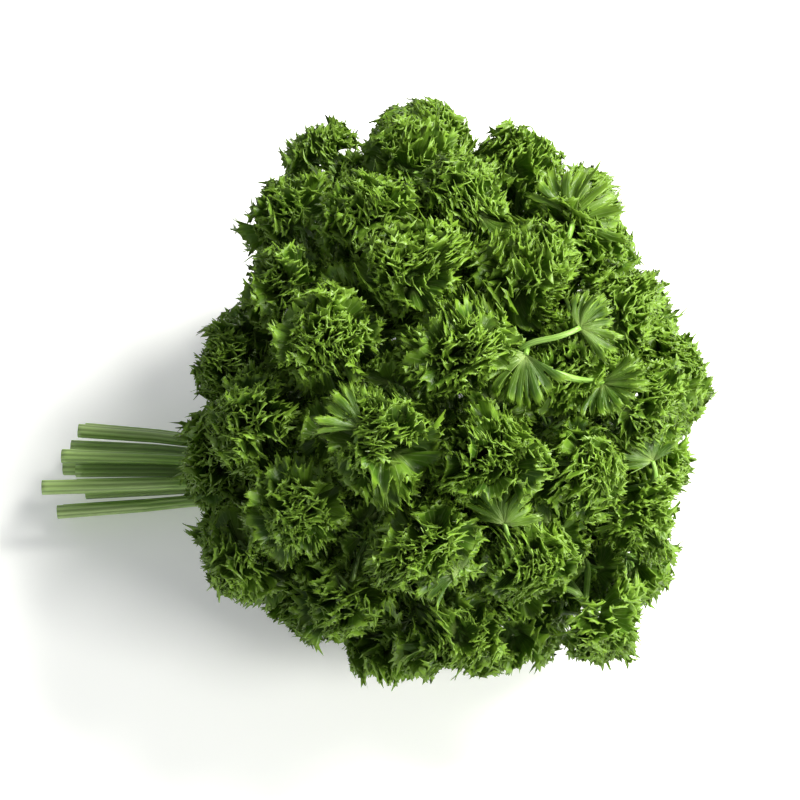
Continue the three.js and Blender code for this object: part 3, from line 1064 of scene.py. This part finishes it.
class NodeDesk:
    """Short ways to wire a material's nodes."""

    def __init__(self, material: bpy.types.Material) -> None:
        """Empties the material's tree and keeps it."""
        self.tree = material.node_tree
        self.tree.nodes.clear()

    def feed(self, target: Socket, value: object) -> None:
        """Joins another node to an input, or sets the input to a number or a colour.

        Args:
            target: The input.
            value: Another node's output, a number, or red, green and blue.
        """
        if isinstance(value, Socket):
            self.tree.links.new(value, target)
        else:
            target.default_value = (*value, 1.0) if target.type == "RGBA" else value

    def node(self, kind: str, inputs: dict[str | int, object], **settings: object) -> bpy.types.Node:
        """A new node with its settings and what its inputs are fed with.

        Args:
            kind: The node's type.
            inputs: A value for each input that isn't left as it is.
            **settings: Its properties by name.

        Returns:
            The node.
        """
        made = self.tree.nodes.new(kind)
        for name, value in settings.items():
            setattr(made, name, value)
        for name, value in inputs.items():
            self.feed(made.inputs[name], value)
        return made

    def uv(self) -> tuple[Socket, Socket]:
        """The shares across and along the piece's own grid.

        Returns:
            The two shares.
        """
        coordinates = self.node("ShaderNodeUVMap", {}, uv_map="UVMap")
        split = self.node("ShaderNodeSeparateXYZ", {0: coordinates.outputs["UV"]})
        return split.outputs["X"], split.outputs["Y"]

    def object_place(self) -> Socket:
        """The place in the object's own frame."""
        return self.node("ShaderNodeTexCoord", {}).outputs["Object"]

    def stretched(self, place: Socket, scale: Triple) -> Socket:
        """The place scaled along each axis."""
        inputs = {"Vector": place, "Scale": scale}
        return self.node("ShaderNodeMapping", inputs).outputs["Vector"]

    def attribute(self, name: str) -> Socket:
        """A number kept on the mesh."""
        return self.node("ShaderNodeAttribute", {}, attribute_name=name).outputs["Fac"]

    def noise(self, place: Socket, scale: float, detail: float) -> Socket:
        """Soft noise from 0 to 1."""
        inputs = {"Vector": place, "Scale": scale, "Detail": detail}
        return self.node("ShaderNodeTexNoise", inputs).outputs["Fac"]

    def ramp(self, value: Socket, low: float, high: float, start: float, end: float) -> Socket:
        """The value's way from low to high, as a smooth change from start to end."""
        inputs = {"Value": value, "From Min": low, "From Max": high, "To Min": start, "To Max": end}
        return self.node("ShaderNodeMapRange", inputs, interpolation_type="SMOOTHSTEP").outputs["Result"]

    def math(self, operation: str, first: Socket, second: Socket | float) -> Socket:
        """One sum with two values."""
        return self.node("ShaderNodeMath", {0: first, 1: second}, operation=operation).outputs["Value"]

    def product(self, first: Socket, second: Socket | float) -> Socket:
        """The product of two values."""
        return self.math("MULTIPLY", first, second)

    def sum(self, first: Socket, second: Socket) -> Socket:
        """The sum of two values."""
        return self.math("ADD", first, second)

    def stripes(self, value: Socket, count: float, sharp: float) -> Socket:
        """Stripes from 0 to 1 along a value, narrower as sharp nears 1."""
        wave = self.math("COSINE", self.product(value, 2 * math.pi * count), 0.0)
        return self.ramp(wave, sharp, 1.0, 0.0, 1.0)

    def mix(self, share: Socket, first: Socket | Triple, second: Socket | Triple) -> Socket:
        """A mix of two colours, each a colour or another node's output."""
        inputs = {"Factor": share, 6: first, 7: second}
        return self.node("ShaderNodeMix", inputs, data_type="RGBA").outputs[2]

    def bump(self, height: Socket, strength: float, distance: float) -> Socket:
        """A normal from a height, where a height of 1 stands for a distance in metres."""
        inputs = {"Height": height, "Strength": strength, "Distance": distance}
        return self.node("ShaderNodeBump", inputs).outputs["Normal"]

    def finish(self, inputs: dict[str | int, object], glow: Triple, share: float) -> None:
        """Ends the tree with the main shader and the light that comes through the leaf.

        Args:
            inputs: What the main shader is fed with.
            glow: The colour of the light that comes through.
            share: How much of it there is.
        """
        surface = self.node("ShaderNodeBsdfPrincipled", inputs)
        through = self.node("ShaderNodeBsdfTranslucent", {"Color": glow})
        layers = {"Fac": share, 1: surface.outputs["BSDF"], 2: through.outputs["BSDF"]}
        mixed = self.node("ShaderNodeMixShader", layers)
        self.node("ShaderNodeOutputMaterial", {"Surface": mixed.outputs["Shader"]})


@dataclass(frozen=True)
class LeafFinish:
    """Fresh leaf: satin green, a little see-through, with pale veins, with painted highlight on the
    teeth at the ends of the fans that is partly their own paler colour, and with painted light carried
    by the vertex tone.
    """

    deep: Triple = (0.032, 0.085, 0.006)
    middle: Triple = (0.08, 0.18, 0.011)
    pale_tips_and_highlight: Triple = (0.2, 0.35, 0.03)
    vein: Triple = (0.3, 0.42, 0.12)
    glow: Triple = (0.24, 0.4, 0.02)
    see_through: float = 0.2
    roughness: float = 0.38
    shine: float = 0.36
    patch_scale: float = 70.0
    fleck_scale: float = 900.0
    veins: float = 19.0
    vein_sharpness: float = 0.78
    edge_start: float = 0.72
    relief: float = 0.35
    relief_height: float = 0.0006

    def material(self) -> bpy.types.Material:
        """The node material of the leaves.

        Returns:
            The material.
        """
        made = bpy.data.materials.new("curly_leaf")
        made.use_nodes = True
        nodes = NodeDesk(made)
        across, along = nodes.uv()
        tone = nodes.attribute("tone")
        patch = nodes.noise(nodes.object_place(), self.patch_scale, 2.0)
        fleck = nodes.noise(nodes.object_place(), self.fleck_scale, 2.0)
        # The vertex tone mixes deep and middle green: partly each fan's own random colour, partly
        # painted light that is stronger on the right and back of the head.
        body = nodes.mix(nodes.ramp(tone, 0.0, 1.0, 0.0, 1.0), self.deep, self.middle)
        body = nodes.mix(nodes.ramp(patch, 0.35, 0.7, 0.0, 0.45), body, self.pale_tips_and_highlight)
        # Painted highlight: the outer rows of every fan, the teeth, turn pale yellow-green towards their
        # ends; this is partly also the teeth's own paler colour.
        body = nodes.mix(nodes.ramp(along, self.edge_start, 1.0, 0.0, 0.75), body, self.pale_tips_and_highlight)
        vein = nodes.stripes(across, self.veins, self.vein_sharpness)
        strength = nodes.product(vein, nodes.ramp(along, 0.05, 0.95, 0.75, 0.12))
        body = nodes.mix(strength, body, self.vein)
        body = nodes.mix(nodes.ramp(along, 0.0, 0.3, 0.7, 0.0), body, self.vein)
        height = nodes.sum(nodes.product(vein, 0.6), nodes.product(fleck, 0.7))
        inputs = {
            "Base Color": body,
            "Roughness": self.roughness,
            "Specular IOR Level": self.shine,
            "Normal": nodes.bump(height, self.relief, self.relief_height),
        }
        nodes.finish(inputs, self.glow, self.see_through)
        return made


@dataclass(frozen=True)
class StalkFinish:
    """Stalk: pale at the cut end, green towards the leaves, with long soft stripes and painted shade in
    the hollows between its ribs.
    """

    pale: Triple = (0.54, 0.72, 0.28)
    green: Triple = (0.21, 0.41, 0.05)
    groove_shade: Triple = (0.06, 0.13, 0.02)
    see_through: float = 0.06
    roughness: float = 0.36
    streaks: Triple = (25.0, 380.0, 380.0)
    ribs: float = 8.0
    relief: float = 0.25
    relief_height: float = 0.0005

    def material(self) -> bpy.types.Material:
        """The node material of the stalks.

        Returns:
            The material.
        """
        made = bpy.data.materials.new("ribbed_stalk")
        made.use_nodes = True
        nodes = NodeDesk(made)
        across, along = nodes.uv()
        tone = nodes.attribute("tone")
        streak = nodes.noise(nodes.stretched(nodes.object_place(), self.streaks), 1.0, 3.0)
        body = nodes.mix(nodes.ramp(streak, 0.3, 0.7, 0.0, 1.0), self.green, self.pale)
        body = nodes.mix(nodes.ramp(tone, 0.0, 1.0, 0.75, 0.0), body, self.green)
        near_cut = nodes.ramp(along, 0.0, 0.32, 0.6, 0.0)
        cut_end = nodes.product(near_cut, nodes.ramp(tone, 0.0, 0.05, 0.0, 1.0))
        body = nodes.mix(cut_end, body, self.pale)
        ridge = nodes.stripes(across, self.ribs, -1.0)
        # Painted shade: the hollows between the ribs are darkened towards a near-black green.
        body = nodes.mix(nodes.ramp(ridge, 0.0, 0.6, 0.45, 0.0), body, self.groove_shade)
        inputs = {
            "Base Color": body,
            "Roughness": self.roughness,
            "Normal": nodes.bump(streak, self.relief, self.relief_height),
        }
        nodes.finish(inputs, self.pale, self.see_through)
        return made


@dataclass
class LeafySet:
    """One leafy stem: its stalk piece and its leaves piece."""

    number: int
    bundle: StemBundle
    shape: CurlyLeaflet
    own: list[Leaflet]
    sides: list[Leaflet]
    pattern: bpy.types.Mesh
    open_shape: CurlyLeaflet
    stalk_radius: float = 2.15
    thin_share: float = 0.5
    blade_thickness: float = 0.26
    core_length: float = 17.0
    low_length: float = 15.0
    low_share: float = 0.6
    low_drop: float = 14.0
    small_length: float = 14.5
    small_share: float = 0.42
    open_tone: float = 0.35

    @property
    def node(self) -> str:
        """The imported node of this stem."""
        return f"leafy_stem_{self.number + 1:02d}"

    @property
    def open_leaves(self) -> list[OpenLeaf]:
        """The open leaves of this stem."""
        return [leaf for leaf in OPEN_LEAVES if leaf.crown == self.number]

    def crowd(self, path: Path) -> list[Leaflet]:
        """Every leaflet of the stem, with the crowded inner ones below them.

        Args:
            path: The stem's own path.

        Returns:
            The outer leaflets, the small ones beside them, the core below the first one, a low one
            on the stalk and a small one on each branch.
        """
        first, height = self.own[0], self.bundle.centre_z + self.low_drop
        core_size = self.core_length * min(1.0, len(self.own) / 5)
        core_root = path.at(1 - (self.bundle.core_depth + 6) / path.length)
        low_root = path.at(self.low_share)
        outward = unit(low_root - np.array([low_root[0], 0.0, height]))
        low_axis = unit(path.heading(self.low_share) + outward)
        crown, seed = self.number, 800 + self.number
        made = [
            *self.own,
            *self.sides,
            Leaflet.added(crown, 9, core_size, first.seed + 9, core_root, first.axis),
            Leaflet.added(crown, INNER + 9, self.low_length, seed, low_root, low_axis),
        ]
        for leaflet in self.own[1:]:
            branch = self.bundle.branch(path, leaflet)
            number, seed = INNER + leaflet.number, 500 + leaflet.seed
            root, axis = branch.at(self.small_share), unit(branch.heading(0.6) + leaflet.axis)
            made.append(Leaflet.added(crown, number, self.small_length, seed, root, axis))
        return made

    def stalk(self, finish: bpy.types.Material) -> bpy.types.Object:
        """Builds the stem, its branches and the small stalks of the fans.

        Args:
            finish: Its material.

        Returns:
            The piece.
        """
        mesh = PlantMesh()
        path = self.bundle.stem(CROWNS[self.number], self.own)
        size = self.stalk_radius * (0.93 + 0.14 * draw(self.number, 5))
        tone = draw(self.number, 6)
        mesh.tube(path, Taper(size, size * (1 - self.thin_share), 40, 70), tone, ribs=8)
        for leaflet in self.own[1:]:
            mesh.tube(self.bundle.branch(path, leaflet), BRANCH, 0.7 * tone)
        for side in self.sides:
            gaps = [float(np.linalg.norm(leaflet.root - side.root)) for leaflet in self.own]
            parent = self.own[int(np.argmin(gaps))]
            start = parent.root - parent.axis * 2.0
            arm = Path.bowed(start, (start + side.root) / 2 - side.axis * 4.0, side.root)
            mesh.tube(arm, SIDE_ARM, 0.5 * tone)
        for leaf in self.open_leaves:
            mesh.tube(Path.through(leaf.points), OPEN_STALK, 0.0, ribs=4)
        for leaflet in self.crowd(path):
            for lobe in self.shape.lobes(leaflet):
                apex, forward, _, _ = self.shape.frame_of(leaflet, lobe)
                start = leaflet.root - leaflet.axis * 1.0
                twig = Path.bowed(start, leaflet.root + leaflet.axis * 3.0, apex + forward * 2.0)
                mesh.tube(twig, TWIG, 0.3)
        return mesh.piece(self.node + "_stalk", self.node, finish)

    def leaves(self, finish: bpy.types.Material) -> bpy.types.Object:
        """Builds the curled fans of every leaflet.

        Args:
            finish: Its material.

        Returns:
            The piece.
        """
        mesh = PlantMesh()
        for leaflet in self.crowd(self.bundle.stem(CROWNS[self.number], self.own)):
            for lobe in self.shape.lobes(leaflet):
                # Painted light: fans further towards +X and +Y, the side where the main lights fall, get
                # a higher tone and so a lighter green; the random shares are the leaves' own uneven
                # colour.
                light = (leaflet.root[0] + leaflet.root[1]) / 220 + 0.4 * draw(leaflet.seed, 11)
                tone = min(1.0, max(0.0, 0.05 + 0.6 * draw(lobe.seed, 8) + light))
                mesh.add_copy(self.pattern, self.shape.fan(leaflet, lobe), tone)
        for number, leaf in enumerate(self.open_leaves):
            for k, place in enumerate(leaf.frames()):
                seed = 90000 + 100 * self.number + 10 * number + k
                formula = self.open_shape.sheet(place, leaf.length, seed)
                mesh.add_copy(self.pattern, formula, self.open_tone)
        made = mesh.piece(self.node + "_leaves", self.node, finish)
        wall = made.modifiers.new("blade", "SOLIDIFY")
        wall.thickness = self.blade_thickness * METRE
        wall.offset = 0.0
        return made


@dataclass(frozen=True)
class SoftLight:
    """A square light that faces the head: its place and side in metres, its power and colour."""

    name: str
    place: Triple
    side: float
    power: float
    colour: Triple


SOFT_LIGHTS = [
    SoftLight("main_light", (0.98, 0.45, 1.1), 0.6, 49.0, (1.0, 0.985, 0.9)),
    SoftLight("right_light", (1.0, -0.65, 0.8), 0.5, 21.0, (1.0, 0.99, 0.9)),
    SoftLight("left_light", (-0.9, -0.8, 0.9), 0.9, 1.0, (0.95, 0.98, 1.0)),
]


@dataclass
class Studio:
    """The camera, the pale floor and the soft lights."""

    aim: Triple = (0.0095, -0.00205, 0.0575)
    elevation: float = 57.0
    distance: float = 0.7
    lens: float = 104.0
    floor_half: float = 4.0
    floor_colour: Triple = (0.86, 0.87, 0.88)
    floor_glow: float = 0.25
    sky_colour: Triple = (0.95, 0.98, 1.0)
    sky_power: float = 0.3
    light_aim: Triple = (0.02, 0.0, 0.06)

    def build(self) -> None:
        """Makes the camera, the floor and the lights."""
        self._camera()
        self._floor()
        self._lights()

    def _camera(self) -> None:
        """Puts the camera at the photograph's view."""
        up = math.radians(self.elevation)
        back = Vector((0.0, -math.cos(up), math.sin(up)))
        data = bpy.data.cameras.new("camera")
        data.lens, data.sensor_width = self.lens, 36.0
        data.clip_start, data.clip_end = 0.01, 20.0
        made = bpy.data.objects.new("camera", data)
        made.location = Vector(self.aim) + back * self.distance
        made.rotation_mode = "QUATERNION"
        made.rotation_quaternion = (-back).to_track_quat("-Z", "Y")
        bpy.context.scene.collection.objects.link(made)
        bpy.context.scene.camera = made

    def _floor(self) -> None:
        """Lays a plain pale floor at z = 0."""
        mesh = bmesh.new()
        bmesh.ops.create_grid(mesh, x_segments=2, y_segments=2, size=self.floor_half)
        data = bpy.data.meshes.new("floor")
        mesh.to_mesh(data)
        mesh.free()
        made = bpy.data.objects.new("floor", data)
        pale = bpy.data.materials.new("pale_floor")
        pale.use_nodes = True
        shader = pale.node_tree.nodes["Principled BSDF"]
        shader.inputs["Base Color"].default_value = (*self.floor_colour, 1.0)
        shader.inputs["Roughness"].default_value = 0.75
        shader.inputs["Emission Color"].default_value = (1.0, 1.0, 1.0, 1.0)
        shader.inputs["Emission Strength"].default_value = self.floor_glow
        data.materials.append(pale)
        bpy.context.scene.collection.objects.link(made)

    def _lights(self) -> None:
        """Hangs two lights at the right, a weak one at the left, and a pale sky."""
        for light in SOFT_LIGHTS:
            self._panel(light)
        world = bpy.data.worlds.new("pale_sky")
        world.use_nodes = True
        sky = world.node_tree.nodes["Background"]
        sky.inputs["Color"].default_value = (*self.sky_colour, 1.0)
        sky.inputs["Strength"].default_value = self.sky_power
        bpy.context.scene.world = world

    def _panel(self, light: SoftLight) -> None:
        """Hangs a square light that faces the head.

        Args:
            light: The light's place, size and colour.
        """
        data = bpy.data.lights.new(light.name, "AREA")
        data.size, data.energy, data.color = light.side, light.power, light.colour
        made = bpy.data.objects.new(light.name, data)
        made.location = light.place
        made.rotation_mode = "QUATERNION"
        way = Vector(self.light_aim) - Vector(light.place)
        made.rotation_quaternion = way.to_track_quat("-Z", "Y")
        bpy.context.scene.collection.objects.link(made)


def main() -> None:
    """Builds the bunch piece by piece, then the studio."""
    logging.basicConfig(level=logging.INFO, format="%(message)s")
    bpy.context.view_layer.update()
    bpy.context.scene.view_settings.view_transform = "Standard"
    head = LeafyHead()
    leaflets = head.leaflets()
    sides = head.side_leaflets(leaflets)
    log.info("%d leaflets and %d small ones on %d stems", len(leaflets), len(sides), len(CROWNS))
    leaf_finish = LeafFinish().material()
    stalk_finish = StalkFinish().material()
    bundle, shape = StemBundle(), CurlyLeaflet()
    open_shape = CurlyLeaflet(
        base_share=0.04, half_angle=41, hands=5, bend_start=0.5, bend=0.7, fold=0.1, folds=1.5,
        ruffle=0.08, cleft=0.36, blunt=0.75, notch=0.87, stray=0.22, evenness=0.3,
    )
    pattern = shape.pattern()
    for number in range(len(CROWNS)):
        own = [leaflet for leaflet in leaflets if leaflet.crown == number]
        beside = [side for side in sides if side.crown == number]
        leafy = LeafySet(number, bundle, shape, own, beside, pattern, open_shape)
        leafy.stalk(stalk_finish)
        leafy.leaves(leaf_finish)
    bpy.data.meshes.remove(pattern)
    Studio().build()


if __name__ == "__main__":
    main()
